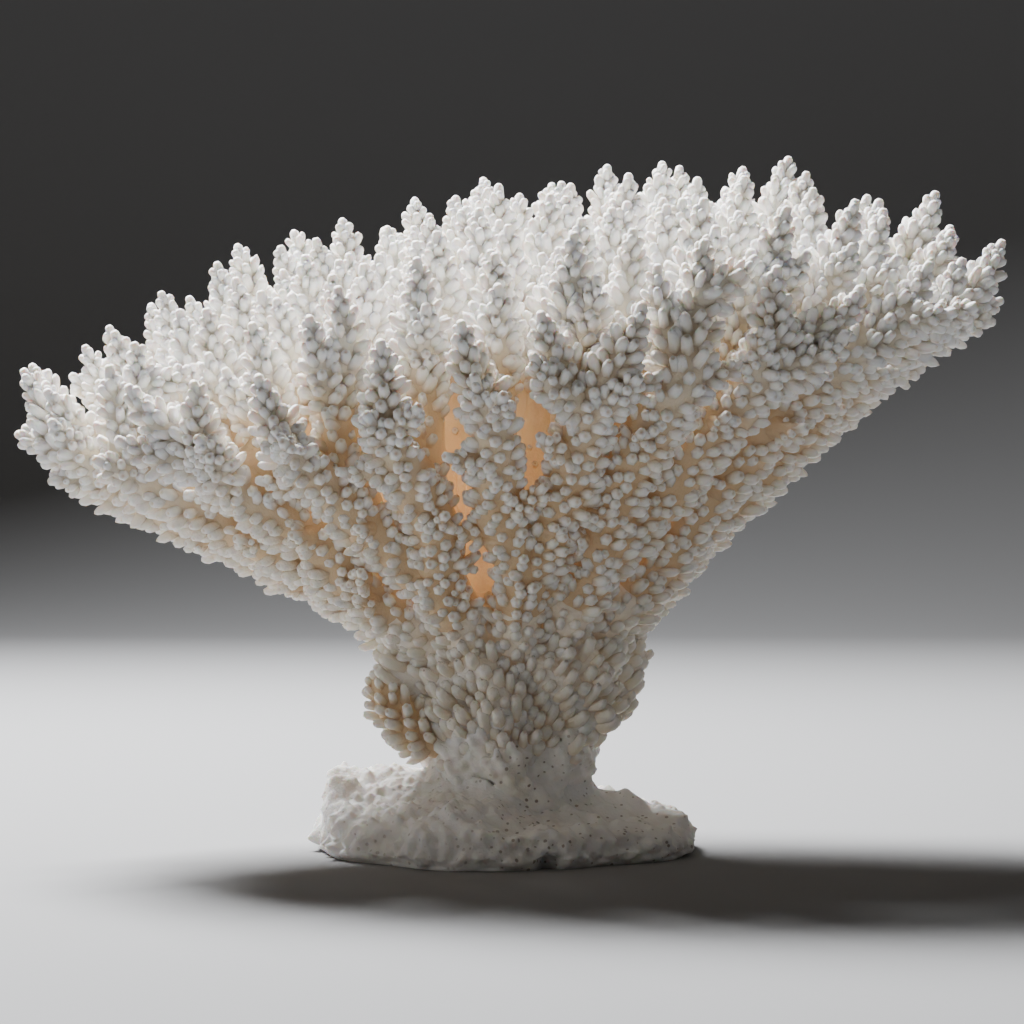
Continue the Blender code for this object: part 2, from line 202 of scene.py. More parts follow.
def tip_stands(draw):
    """Every finger tip's reach and turn in plan, its point in space and its direction."""
    places = even_tips(draw)
    x, y = places[:, 0], places[:, 1]
    across, deep = x / RIM_HALF_LENGTH, y / RIM_HALF_DEPTH
    reach, turn = np.hypot(across, deep), np.arctan2(deep, across)
    drop = RIM_DROP * np.clip((reach - 0.8) / 0.2, 0, 1) * (1 - 0.8 * deep + 0.5 * across)
    height = canopy(x, y) - drop + draw.uniform(-0.006, 0.004, TIP_COUNT)
    lean = 4 + (27 - 6 * np.cos(turn)) * reach**2 + draw.uniform(-5, 5, TIP_COUNT)
    tilt = np.radians(lean)
    away = np.stack([x, y * 1.3], axis=1)
    away = away / (norm(away, axis=1, keepdims=True) + 1e-9)
    way = np.column_stack([away * np.sin(tilt)[:, None], np.cos(tilt)])
    return reach, turn, np.column_stack([x, y, height]), way


growth = np.random.default_rng(GROWTH_SEED)
tip_reach, tip_turn, tips, tip_ways = tip_stands(growth)
gaps = norm(tips[:, None, :2] - tips[None, :, :2], axis=2) + np.eye(TIP_COUNT)
nearest = 1000 * gaps.min(axis=1).mean()
print(TIP_COUNT, "tips; nearest neighbours are", round(nearest, 1), "mm apart on average")

# %% [markdown]
# ## Limbs, arms and fingers
#
# Twelve limbs leave the trunk and each forks once. The tips nearest to an arm belong to it: the
# outermost is the arm's own end, which turns up at the rim, and the others are fingers that rise
# from its back. Six inner limbs carry the middle. Each stem is kept with the name of the solid that
# it dresses, its line, the stretch of the line that it covers, and its kind.

# %% Grow the stems
LIMB_COUNT, INNER_COUNT = 12, 6
ROOT_REACH, STUB_REACH, FORK_REACH, TURN_UP_REACH = 0.08, 0.29, 0.38, 0.84
INNER_SEAT, INNER_REACH, MIDDLE_REACH = 0.14, 0.38, 0.60
FINGER_LAG, FORK_STUB_SHARE, INNER_CUT_HEIGHT = 0.16, 0.33, 0.074
KNOB_PATH = np.array([[-0.010, -0.004, 0.028], [-0.0365, -0.0125, 0.0515]])
stems = []


def add_stem(node, line, first, last, kind):
    """One stem, from a first to a last distance along its line."""
    last = lengths(line)[-1] if last is None else last
    stems.append(dict(node=node, line=line, first=first, last=last, kind=kind))


def finger(line, run, tip, tip_way):
    """A finger's line, from inside the limb that bears it up to its tip."""
    start_way = unit(way_at(line, run) + np.array([0, 0, 1.1]))
    return bend(point_at(line, run), start_way, tip, tip_way)


def arm_line(limb_line, turn, end):
    """An arm's line from the fork: it swings to its own turn early, then runs out to the rim."""
    steps = np.linspace(0, 1, 16)
    reaches = FORK_REACH + (TURN_UP_REACH - FORK_REACH) * steps
    turns = turn + turn_gap(turn, end) * (1 - (1 - np.minimum(1, steps * 2.1)) ** 2)
    run_out = limb_point(reaches, turns)
    return run_out + limb_line[-1] - run_out[0]


def grow_limb(k, turn, ends, wave):
    """A limb, its two arms and all of their fingers."""
    name = f"limb_{k + 1:02d}"
    reaches = np.linspace(ROOT_REACH, FORK_REACH, 20)
    line = limb_point(reaches, turn + wave * np.sin(3.2 * reaches))
    along = lengths(line)
    cut = np.interp(STUB_REACH, reaches, along)
    for j, end in enumerate(ends):
        run_out = arm_line(line, turn, end)
        node = f"{name}_{'ab'[j]}"
        mine = np.flatnonzero((own_arm == 2 * k + j) & (tip_reach >= MIDDLE_REACH))
        mine = mine[np.argsort(-tip_reach[mine])]
        rise = bend(run_out[-1], unit(run_out[-1] - run_out[-2]), tips[mine[0]], tip_ways[mine[0]], 14)
        out = lengths(run_out)[-1]
        stub = FORK_STUB_SHARE * out
        arm = np.vstack([line, run_out[1:], rise[1:]]) if j == 0 else np.vstack([run_out, rise[1:]])
        fork = along[-1] if j == 0 else 0.0
        if j == 0:
            add_stem("trunk", arm, 0.0, cut, "stub")
            add_stem(name, arm, cut, fork + stub, "limb")
        else:
            add_stem(name, arm, 0.0, stub, "limb")
        add_stem(node, arm, fork + stub, None, "rim")
        for i in mine[1:]:
            share = (tip_reach[i] - FINGER_LAG - FORK_REACH) / (TURN_UP_REACH - FORK_REACH)
            run = fork + min(max(share * out, stub + 0.009), out - 0.002)
            add_stem(node, finger(arm, run, tips[i], tip_ways[i]), 0.0, None, "finger")
    for i in np.flatnonzero((own_limb == k) & (tip_reach >= INNER_REACH) & (tip_reach < MIDDLE_REACH)):
        run = np.interp(tip_reach[i] - FINGER_LAG, reaches, along)
        run = min(max(run, cut + 0.008), along[-1] - 0.003)
        add_stem(name, finger(line, run, tips[i], tip_ways[i]), 0.0, None, "finger")


def grow_inner_limb(k, seat):
    """An inner limb: a shaft that rises steeply from the trunk, and its fingers."""
    x, y = seat
    node = f"inner_limb_{k + 1}"
    start = np.array([0.70 * x, 0.70 * y, 0.042])
    split = np.array([1.50 * x, 1.50 * y, 0.124 + 0.10 * y])
    line = bend(start, unit([x, y, 0.03]), split, unit([0.2 * x, 0.2 * y, 0.03]))
    cut = np.interp(INNER_CUT_HEIGHT, line[:, 2], lengths(line))
    add_stem("trunk", line, 0.0, cut, "stub")
    add_stem(node, line, cut, None, "shaft")
    for step, i in enumerate(np.flatnonzero((own_seat == k) & (tip_reach < INNER_REACH))):
        run = lengths(line)[-1] - 0.006 - 0.006 * step
        side = unit(np.append(tips[i, :2] - split[:2], 0.012))
        add_stem(node, bend(point_at(line, run), side, tips[i], tip_ways[i]), 0.0, None, "finger")


waves = growth.uniform(-0.06, 0.06, LIMB_COUNT)
limb_turns = rim_turns(LIMB_COUNT, 0.12)
arm_turns = rim_turns(2 * LIMB_COUNT, 0.24 - 0.5)
seats = np.array([plan(INNER_SEAT, k * 2 * math.pi / INNER_COUNT + 0.3) for k in range(INNER_COUNT)])
own_arm = np.argmin(np.abs(turn_gap(tip_turn[:, None], arm_turns)), axis=1)
own_limb = np.argmin(np.abs(turn_gap(tip_turn[:, None], limb_turns)), axis=1)
own_seat = np.argmin(norm(tips[:, None, :2] - seats, axis=2), axis=1)
for k in range(LIMB_COUNT):
    grow_limb(k, limb_turns[k], arm_turns[2 * k : 2 * k + 2], waves[k])
for k in range(INNER_COUNT):
    grow_inner_limb(k, seats[k])
knob = bend(KNOB_PATH[0], unit([-1.0, -0.25, 0.22]), KNOB_PATH[1], unit([-0.25, -0.05, 1.0]))
add_stem("low_branch", knob, 0.012, None, "knob")
kinds = [s["kind"] for s in stems]
print({kind: kinds.count(kind) for kind in sorted(set(kinds))}, "stems")

# %% [markdown]
# ## Side fingers and wall branchlets
#
# In the photo most fingers carry a shorter one that splits off some 30 mm below the tip and grows
# up beside it, so that pairs merge into fans. A side finger looks for the freest direction. On the
# outer wall short branchlets reach sideways into the gaps between limbs and nearly close them, and
# small windows stay open.

# %% Add side fingers and branchlets
SIDE_COUNT, BRANCHLET_STEP = 60, 0.0205


def sampled(step=0.003):
    """All stems' lines sampled every few millimetres, with the index of the stem of each sample."""
    parts = [point_at(s["line"], np.arange(s["first"], s["last"], step)) for s in stems]
    owner = np.concatenate([np.full(len(p), i) for i, p in enumerate(parts)])
    return np.concatenate(parts), owner


def side_finger(index, draw, cloud, cloud_owner):
    """A shorter finger that splits from another below its tip, on the side with the most room."""
    stem = stems[index]
    whole = stem["last"]
    start = whole - draw.uniform(0.026, 0.038)
    base, way = point_at(stem["line"], start), way_at(stem["line"], start)
    across = unit(np.cross(way, [0.31, 0.95, 0.07]))
    turns = draw.uniform(0, 2 * math.pi) + np.arange(10) * 2 * math.pi / 10
    spokes = np.outer(np.cos(turns), across) + np.outer(np.sin(turns), np.cross(way, across))
    far = whole - draw.uniform(0.007, 0.014)
    ends = point_at(stem["line"], far) + spokes * draw.uniform(0.0090, 0.0115)
    others = cloud[cloud_owner != index]
    apart = norm(ends[:, None] - others[None], axis=2).min(axis=1)
    best = int(np.argmax(apart))
    line = bend(base, unit(way + 0.9 * spokes[best]), ends[best], unit(way + 0.3 * spokes[best]), 16)
    return line, float(apart.max())


def branchlets(index, draw, cloud, cloud_owner):
    """Short branches from a limb's left and right sides by turns, leaning outward and up."""
    stem = stems[index]
    lines = []
    last = stem["last"] - (0.016 if stem["kind"] == "rim" else 0.004)
    runs = np.arange(stem["first"] + 0.006, last, BRANCHLET_STEP)
    for count, run in enumerate(runs + draw.uniform(-0.004, 0.004, len(runs))):
        base, way = point_at(stem["line"], run), way_at(stem["line"], run)
        flat = unit(np.cross([0, 0, 1], way)) * (-1) ** count
        under = unit(np.cross(np.cross([0, 0, 1], way), way))
        goal = unit(0.9 * flat + draw.uniform(0.2, 0.9) * under + 0.8 * way)
        end = base + goal * draw.uniform(0.013, 0.019)
        room = norm(end - cloud[cloud_owner != index], axis=1).min()
        if room > 0.0066:
            lines.append(bend(base, unit(goal + 0.4 * flat), end, unit(goal + 0.6 * way), 10))
    return lines


side_draw = np.random.default_rng(5)
cloud, cloud_owner = sampled()
bearers = [i for i, s in enumerate(stems) if s["kind"] in ("finger", "rim")]
side_lines = [(i, *side_finger(i, side_draw, cloud, cloud_owner)) for i in bearers]
side_lines.sort(key=lambda found: -found[2])
for i, line, _ in side_lines[:SIDE_COUNT]:
    add_stem(stems[i]["node"], line, 0.0, None, "side")
walls = [i for i, s in enumerate(stems) if s["kind"] in ("limb", "rim")]
for i in walls:
    for line in branchlets(i, side_draw, cloud, cloud_owner):
        add_stem(stems[i]["node"], line, 0.0, None, "branchlet")
kinds = [s["kind"] for s in stems]
print({kind: kinds.count(kind) for kind in sorted(set(kinds))}, "stems")

# %% [markdown]
# ## Stem surfaces
#
# Under its cups a coral stem is a smooth, slightly uneven shaft: thin at the growing tip, about
# 12 mm thick below. Each stem is a grid of rings along its line, and the radius comes from the
# distance to the tip, with a slow wobble. Where stone has grown up round the cups' feet, on the
# outer wall and at the fingers' middles, a skin is added. Every point carries three marks for the
# material: how near it is to a cup's tip, how deep it lies under the canopy, and how much it is a
# pit or has pores.

# %% Core radius and grid surfaces
CORE_PROFILE = {
    "finger": ((0.0, 0.0013), (0.010, 0.0027), (0.025, 0.0042), (0.045, 0.0053), (0.080, 0.0060)),
    "rim": ((0.0, 0.0013), (0.010, 0.0027), (0.025, 0.0042), (0.045, 0.0055), (0.080, 0.0064)),
    "side": ((0.0, 0.0013), (0.010, 0.0026), (0.025, 0.0038)),
    "branchlet": ((0.0, 0.0014), (0.006, 0.0024), (0.015, 0.0033)),
    "knob": ((0.0, 0.0030), (0.006, 0.0050), (0.020, 0.0058)),
    "limb": ((0.0, 0.0064), (1.0, 0.0064)),
    "shaft": ((0.0, 0.0060), (1.0, 0.0060)),
    "stub": ((0.0, 0.0066), (1.0, 0.0066)),
}
RING_STEP, RING_SIDES, OVERRUN = 0.0030, 12, 0.0015
WALL_SKIN, FINGER_SKIN = 0.0013, 0.0010


def to_tip(stem, run):
    """The distances left from places along a stem's line to its tip."""
    return lengths(stem["line"])[-1] - run


def core_radius(stem, run):
    """The smooth shaft's radius by the distance left to the stem's tip."""
    depths, radii = zip(*CORE_PROFILE[stem["kind"]])
    return np.interp(to_tip(stem, run), depths, radii)


def ring_ways(across, up, sides):
    """Directions round a ring for many pairs of side directions."""
    angle = np.arange(sides)[:, None] * 2 * math.pi / sides
    return across[:, None] * np.cos(angle) + up[:, None] * np.sin(angle)


def stem_frame(stem, run):
    """Points, directions and two side directions of a stem at some distances."""
    at, way = point_at(stem["line"], run), way_at(stem["line"], run)
    across = unit(np.cross(way, [0.31, 0.95, 0.07]))
    return at, way, across, np.cross(way, across)


def grid_faces(rows, columns):
    """Quads between the rings of a grid, and triangles from its end rings to two extra points."""
    k, j = np.meshgrid(np.arange(rows - 1), np.arange(columns), indexing="ij")
    following = (j + 1) % columns
    here, above = k * columns, (k + 1) * columns
    quads = np.stack([here + j, here + following, above + following, above + j], -1)
    ring = np.arange(columns)
    onward = (ring + 1) % columns
    top = (rows - 1) * columns
    first = np.stack([np.full(columns, rows * columns), onward, ring], -1)
    last = np.stack([np.full(columns, rows * columns + 1), top + ring, top + onward], -1)
    return quads.reshape(-1, 4), np.concatenate([first, last])


def closed_grid(rings, ends):
    """Rings closed on an end point each: points, quads, triangles and blank marks."""
    points = np.concatenate([rings.reshape(-1, 3), ends])
    return (points, *grid_faces(*rings.shape[:2]), np.zeros((len(points), 3)))


def depth_mark(points):
    """How deep points lie: 0 at the canopy and on the outer wall, 1 far down inside the crown."""
    x, y, z = points[..., 0], points[..., 1], points[..., 2]
    across, deep = x / RIM_HALF_LENGTH, y / RIM_HALF_DEPTH
    reach, turn = np.clip(np.hypot(across, deep), 1e-3, 1), np.arctan2(deep, across)
    below = soft_step(canopy(x, y) - z, 0.006, 0.075)
    inside = soft_step(z - limb_point(reach, turn)[..., 2], -0.006, 0.016)
    return below * (0.35 + 0.65 * inside)


def stem_surface(stem, draw):
    """A stem's closed surface as points, quads, triangles and marks."""
    first = max(stem["first"] - OVERRUN, 0.0)
    last = min(stem["last"] + OVERRUN, to_tip(stem, 0.0))
    run = np.linspace(first, last, max(5, int((last - first) / RING_STEP) + 1))
    at, way, across, up = stem_frame(stem, run)
    angle = np.arange(RING_SIDES) * 2 * math.pi / RING_SIDES
    slow = draw.uniform(0, 2 * math.pi, 4)
    wobble = 0.07 * np.cos(2 * angle + slow[0] + 160 * run[:, None])
    wobble = wobble + 0.05 * np.cos(3 * angle + slow[1] - 240 * run[:, None])
    wobble = wobble + 0.04 * np.cos(slow[2] + 420 * run[:, None])
    radius = core_radius(stem, run)[:, None] * (1 + wobble)
    left = to_tip(stem, run)[:, None]
    if stem["kind"] in ("limb", "stub", "rim"):
        radius = radius + WALL_SKIN * soft_step(left, 0.008, 0.030)
    if stem["kind"] in ("finger", "side", "branchlet"):
        middle = soft_step(left, 0.004, 0.014) * (1 - soft_step(left, 0.034, 0.052))
        radius = radius + FINGER_SKIN * middle
    rings = at[:, None] + ring_ways(across, up, RING_SIDES) * radius[..., None]
    ends = np.stack([at[0] - way[0] * 0.001, at[-1] + way[-1] * 0.0012])
    points, quads, triangles, marks = closed_grid(rings, ends)
    marks[:, 1] = depth_mark(points)
    return points, quads, triangles, marks


finger_depth, finger_radius = CORE_PROFILE["finger"][2]
print("a finger's core is", 2000 * finger_radius, "mm thick", 1000 * finger_depth, "mm below the tip")

# %% [markdown]
# ## Where the cups sit
#
# Each stem is covered with small tubular cups, the homes of the polyps. They sit on a golden-angle
# spiral, like seeds: the wanted number of cups per millimetre is summed along the stem, and one cup
# is set at each whole number. At a tip they are short, from 15 mm below it about 6 mm long. Deep in
# the crown they sink in and thin out. A cup that would start inside another stem is dropped.

# %% Place the cups
CUP_AREA, CUP_REACH = 18.5e-6, 0.0024
CUP_RADIUS, CUP_LENGTH, LOST_AT_TIP, LOST_WHEN_SUNK = 0.00168, 0.0063, 0.0040, 0.84
TILT, TILT_LOST_AT_TIP, TILT_LOST_ON_WALL = 52, 26, 6
TIP_ZONE = 0.016


def picked(cups, mask):
    """Only the cups that a mask picks."""
    return {name: value[mask] for name, value in cups.items()}


def cup_plan(stem, draw):
    """The spiral of cups on one stem: distance along it and turn round it."""
    run = np.linspace(stem["first"], stem["last"], 400)
    rate = 2 * math.pi * (core_radius(stem, run) + CUP_REACH) / CUP_AREA
    total = np.concatenate([[0], np.cumsum(0.5 * (rate[1:] + rate[:-1]) * np.diff(run))])
    order = np.arange(int(total[-1]))
    along = np.interp(order + 0.5, total, run) + draw.uniform(-0.0006, 0.0006, len(order))
    return along, order * GOLDEN_TURN + draw.uniform(-0.16, 0.16, len(order))


def cups_on(stem, draw):
    """One stem's cups: foot point, starting and final direction, length, radius and pit depth."""
    run, turn = cup_plan(stem, draw)
    count = len(run)
    at, way, across, up = stem_frame(stem, run)
    spoke = across * np.cos(turn)[:, None] + up * np.sin(turn)[:, None]
    near = 1 - np.clip(to_tip(stem, run) / TIP_ZONE, 0, 1) ** 0.8
    outward = unit(at * [1, 1.6, 0] + [0, 0, -0.02])
    outer = soft_step(np.sum(spoke * outward, axis=1), -0.40, 0.25)
    below = canopy(at[:, 0], at[:, 1]) - at[:, 2]
    sunk = soft_step(below + draw.uniform(-0.006, 0.006, count), 0.030, 0.048) * (1 - outer)
    if stem["kind"] in ("finger", "shaft", "side"):
        deep = depth_mark(at + spoke * 0.006) + draw.uniform(-0.08, 0.08, count)
        sunk = soft_step(deep, 0.38, 0.62)
    if stem["kind"] == "knob":
        sunk = 0 * sunk
    keep = draw.uniform(0, 1, count) > 0.86 * soft_step(sunk, 0.5, 0.95)
    wall = float(stem["kind"] in ("limb", "stub"))
    length = (CUP_LENGTH - LOST_AT_TIP * near) * (1 - LOST_WHEN_SUNK * sunk)
    length = length * draw.uniform(0.72, 1.18, count)
    length = length * (1 + wall * draw.uniform(-0.25, 0.22, count))
    tilt = TILT - TILT_LOST_AT_TIP * near - TILT_LOST_ON_WALL * wall
    tilt = np.radians(tilt + draw.uniform(-9, 9, count))
    steer = unit(spoke + 0.15 * draw.standard_normal((count, 3)))
    final = unit(steer * np.sin(tilt - 0.18)[:, None] + way * np.cos(tilt - 0.18)[:, None])
    start = unit(steer * np.sin(tilt + 0.22)[:, None] + way * np.cos(tilt + 0.22)[:, None])
    radius = CUP_RADIUS * (1 - 0.28 * near - 0.35 * sunk) * draw.uniform(0.86, 1.14, count)
    pit = draw.uniform(-0.12, 0.16, count) + 0.30 * sunk
    foot = at + spoke * (core_radius(stem, run) * 0.95)[:, None] - start * 0.0006
    sizes = dict(length=length, radius=radius, pit=pit)
    return picked(dict(foot=foot, start=start, final=final, spoke=spoke, **sizes), keep)


def end_cup(stem):
    """The single larger cup at the very tip of a growing stem."""
    tip = stem["line"][-1:]
    way = way_at(stem["line"], to_tip(stem, np.array([0.001])))
    one = np.ones(1)
    sizes = dict(length=0.0044 * one, radius=0.0016 * one, pit=0.2 * one)
    return dict(foot=tip - way * 0.0015, start=way, final=way, spoke=way, **sizes)


def kept(cups, index, cloud, cloud_owner, cloud_core):
    """Only the cups whose foot and middle lie outside every other stem."""
    others = cloud_owner != index
    middle = cups["foot"] + cups["start"] * (0.5 * cups["length"])[:, None]
    clear = np.ones(len(middle), bool)
    for probe, spare in ((cups["foot"] + cups["spoke"] * 0.001, 0.0), (middle, 0.0010)):
        apart = norm(probe[:, None] - cloud[others][None], axis=2)
        clear &= (apart > cloud_core[others] + spare).all(axis=1)
    return picked(cups, clear)


cup_draw = np.random.default_rng(23)
cloud, cloud_owner = sampled(0.0025)
cloud_core = np.concatenate([core_radius(s, np.arange(s["first"], s["last"], 0.0025)) for s in stems])
all_cups = []
for i, stem in enumerate(stems):
    cups = cups_on(stem, cup_draw)
    if stem["kind"] in ("finger", "rim", "side", "branchlet", "knob"):
        tip_cup = end_cup(stem)
        cups = {name: np.concatenate([cups[name], tip_cup[name]]) for name in cups}
    all_cups.append(kept(cups, i, cloud, cloud_owner, cloud_core))
by_kind = dict.fromkeys(sorted(set(kinds)), 0)
for stem, cups in zip(stems, all_cups):
    by_kind[stem["kind"]] += len(cups["length"])
print(sum(by_kind.values()), "cups on", len(stems), "stems:", by_kind)

# %% [markdown]
# ## The shape of a cup
#
# A cup is a short tube with a rounded lip and a small pit at its end, and it curves towards the
# stem's tip as it grows. All cups of a stem are made in one go: each has the same 26 points, four
# rings and two ends, and arrays carry its own place, directions, length and radius. There are many
# thousands of cups, so one cup has only a few dozen faces.

# %% Make cups as arrays
CUP_SIDES = 6
CUP_RINGS = ((-0.18, 1.10), (0.50, 0.98), (0.84, 0.86), (1.00, 0.48))


def cup_surface(cups):
    """Points, quads, triangles and marks of many cups: rings along a path whose direction turns."""
    count = len(cups["length"])
    share = np.array([t for t, _ in CUP_RINGS])
    wide = np.array([r for _, r in CUP_RINGS])
    middle = unit(cups["start"] + cups["final"])
    across = unit(np.cross(middle, [0.23, 0.11, 0.97]) + 1e-9)
    up = np.cross(middle, across)
    turned = cups["final"] - cups["start"]

    def path(t):
        return cups["foot"] + cups["length"][:, None] * (t * cups["start"] + 0.5 * t * t * turned)

    centre = np.stack([path(t) for t in share], axis=1)
    spoke = ring_ways(across, up, CUP_SIDES)
    reach = cups["radius"][:, None] * wide
    rings = centre[:, :, None] + spoke[:, None] * reach[:, :, None, None]
    pit_at = 1.03 - cups["pit"][:, None]
    pit = cups["foot"] + cups["length"][:, None] * (pit_at * cups["start"] + 0.5 * pit_at**2 * turned)
    points = np.concatenate([rings.reshape(count, -1, 3), centre[:, :1], pit[:, None]], axis=1)
    each = points.shape[1]
    quads, triangles = grid_faces(len(CUP_RINGS), CUP_SIDES)
    shift = (np.arange(count) * each)[:, None, None]
    marks = np.zeros((count, each, 3))
    marks[..., 0] = np.concatenate([np.repeat([0.0, 0.45, 0.9, 1.0], CUP_SIDES), [0.0, 0.9]])
    marks[..., 1] = depth_mark(points)
    marks[:, -1, 2] = 1.0
    return (
        points.reshape(-1, 3),
        (quads[None] + shift).reshape(-1, 4),
        (triangles[None] + shift).reshape(-1, 3),
        marks.reshape(-1, 3),
    )


trial = cup_surface(all_cups[1])
print("one cup has", (2 * len(trial[1]) + len(trial[2])) // len(all_cups[1]["length"]), "triangles")

# %% [markdown]
# ## Webs between fingers
#
# Where two fingers of one limb stand close, stone has filled the gap between their shafts with a
# smooth wall that ends in a sagging edge. Deep in the crown, these webs carry the painted amber
# glow that shows through the windows of the outer wall. A web is a very flat tube: at each level
# its ring is an ellipse from one shaft's middle to the other's.

# %% Make the webs
WEB_ROWS, WEB_COLUMNS = 12, 16
WEB_SPAN = (0.011, 0.030)


def web_pairs():
    """Pairs of fingers of one solid whose tips are neighbours."""
    pairs = []
    tall = [i for i, s in enumerate(stems) if s["kind"] in ("finger", "rim") and s["node"] != "trunk"]
    for n, i in enumerate(tall):
        for j in tall[n + 1 :]:
            span = norm(stems[i]["line"][-1] - stems[j]["line"][-1])
            if stems[i]["node"] == stems[j]["node"] and WEB_SPAN[0] < span < WEB_SPAN[1]:
                pairs.append((i, j))
    return pairs


def web_surface(one, other, draw):
    """A flat tube between two stems: ellipses whose thickness falls and whose top edge sags."""
    whole = [to_tip(stem, 0.0) for stem in (one, other)]
    top = draw.uniform(0.022, 0.030)
    deep = min(0.075, *whole) - 0.002
    level = np.linspace(0, 1, WEB_ROWS)
    below = deep + (top - deep) * level
    a = point_at(one["line"], whole[0] - below)
    b = point_at(other["line"], whole[1] - below)
    up = unit(a[-1] + b[-1] - a[0] - b[0])
    gap = norm(b - a, axis=1)[:, None]
    face = unit(np.cross(up, b - a + 1e-6))
    angle = np.arange(WEB_COLUMNS) * 2 * math.pi / WEB_COLUMNS
    across, thick = np.cos(angle), np.sin(angle)
    swell = 1 + 0.10 * np.cos(6 * level[:, None] + 3 * across)
    bulk = (0.0044 - 0.0020 * level[:, None] ** 3) * swell
    points = 0.5 * (a + b)[:, None] + 0.5 * (b - a)[:, None] * across[:, None]
    points = points + face[:, None] * (bulk * thick)[..., None]
    sag = 0.28 * gap * (1 - across**2) * level[:, None] ** 3
    rings = points - up * sag[..., None]
    points, quads, triangles, marks = closed_grid(rings, rings[[0, -1]].mean(axis=1))
    marks[:, 1] = depth_mark(points)
    return points, quads, triangles, marks


web_draw = np.random.default_rng(41)
webs = {}
for i, j in web_pairs():
    webs.setdefault(stems[i]["node"], []).append(web_surface(stems[i], stems[j], web_draw))
print(sum(len(w) for w in webs.values()), "webs on", len(webs), "solids")

# %% [markdown]
# ## From arrays to meshes
#
# Stems, webs and cups of one solid are joined into one mesh, which replaces that solid. The marks
# go in as one vector attribute, which the material reads.

# %% Write the limbs' meshes


def placed(name, data):
    """A new object with its data, put into the scene."""
    thing = bpy.data.objects.new(name, data)
    bpy.context.scene.collection.objects.link(thing)
    return thing


def write_mesh(name, parts):
    """One smooth-shaded object from several sets of points, quads, triangles and marks."""
    counts = np.cumsum([0] + [len(p[0]) for p in parts])
    points = np.concatenate([p[0] for p in parts])
    quads = np.concatenate([p[1] + n for p, n in zip(parts, counts)])
    triangles = np.concatenate([p[2] + n for p, n in zip(parts, counts)])
    marks = np.concatenate([p[3] for p in parts])
    mesh = bpy.data.meshes.new(name)
    mesh.vertices.add(len(points))
    mesh.vertices.foreach_set("co", points.astype(np.float32).ravel())
    corners = np.concatenate([quads.ravel(), triangles.ravel()])
    sizes = np.concatenate([np.full(len(quads), 4), np.full(len(triangles), 3)])
    mesh.loops.add(len(corners))
    mesh.loops.foreach_set("vertex_index", corners.astype(np.int32))
    mesh.polygons.add(len(sizes))
    mesh.polygons.foreach_set("loop_start", (np.cumsum(sizes) - sizes).astype(np.int32))
    mesh.polygons.foreach_set("use_smooth", np.ones(len(sizes), bool))
    mesh.update(calc_edges=True)
    layer = mesh.attributes.new("marks", "FLOAT_VECTOR", "POINT")
    layer.data.foreach_set("vector", marks.astype(np.float32).ravel())
    return placed(name, mesh)


def faces_in(thing):
    """The number of triangles in an object's mesh."""
    return sum(len(p.vertices) - 2 for p in thing.data.polygons)


shape_draw = np.random.default_rng(31)
pieces = {}
for node in sorted({s["node"] for s in stems} - {"trunk"}):
    own = [i for i, s in enumerate(stems) if s["node"] == node]
    parts = [stem_surface(stems[i], shape_draw) for i in own] + webs.get(node, [])
    parts += [cup_surface(all_cups[i]) for i in own if len(all_cups[i]["length"])]
    pieces[node] = write_mesh(f"{node}_coral", parts)
print(len(pieces), "pieces,", sum(faces_in(p) for p in pieces.values()), "triangles")

# %% [markdown]
# ## The trunk
#
# Low down the limbs' roots have grown together into one short trunk. Its surface is a grid of
# heights and turns: an oval that widens upward, fluted where the roots run into it, with soft
# lumps. Blunt cups cover it like shingles. At its lower end old stone has filled the gaps between
# the cups, so the shells are fused there in a fine voxel grid and softened. Higher ones stay crisp.

# %% Trunk surface, blunt cups and roots
TRUNK_LEVELS = (0.0090, 0.0150, 0.0220, 0.0320, 0.0440, 0.0560, 0.0640)
TRUNK_HALF_X = (0.0275, 0.0225, 0.0215, 0.0250, 0.0315, 0.0355, 0.0310)
TRUNK_HALF_Y = (0.0260, 0.0210, 0.0195, 0.0215, 0.0240, 0.0255, 0.0220)
TRUNK_SHIFT = (0.0005, 0.0005, 0.0010, 0.0020, 0.0025, 0.0015, 0.0010)
TRUNK_LUMP = 0.0019
MELT_HEIGHT, MELT_VOXEL = 0.031, 0.0008


def lumps(points, size, seed):
    """Soft noise of about one: a sum of waves of one length in many fixed random directions."""
    waves = np.random.default_rng(seed)
    ways = unit(waves.standard_normal((28, 3))) * 2 * math.pi / size
    return np.cos(points @ ways.T + waves.uniform(0, 2 * math.pi, 28)).sum(axis=-1) / math.sqrt(14)


def trunk_point(turn, height):
    """Points on the trunk's surface by turn and height."""
    half_x = np.interp(height, TRUNK_LEVELS, TRUNK_HALF_X)
    half_y = np.interp(height, TRUNK_LEVELS, TRUNK_HALF_Y)
    flute = 0.10 * soft_step(height, 0.018, 0.045) * np.cos(7 * (turn - 0.16) + 25 * height)
    flute = flute + 0.05 * np.cos(4 * turn + 70 * height) * soft_step(height, 0.015, 0.03)
    x = np.interp(height, TRUNK_LEVELS, TRUNK_SHIFT) + half_x * (1 + flute) * np.cos(turn)
    return np.stack([x, half_y * (1 + flute) * np.sin(turn), height + 0 * turn], axis=-1)


def trunk_lumps(points):
    """How far the trunk's soft lumps push its surface out."""
    return TRUNK_LUMP * lumps(points, 0.013, 3)


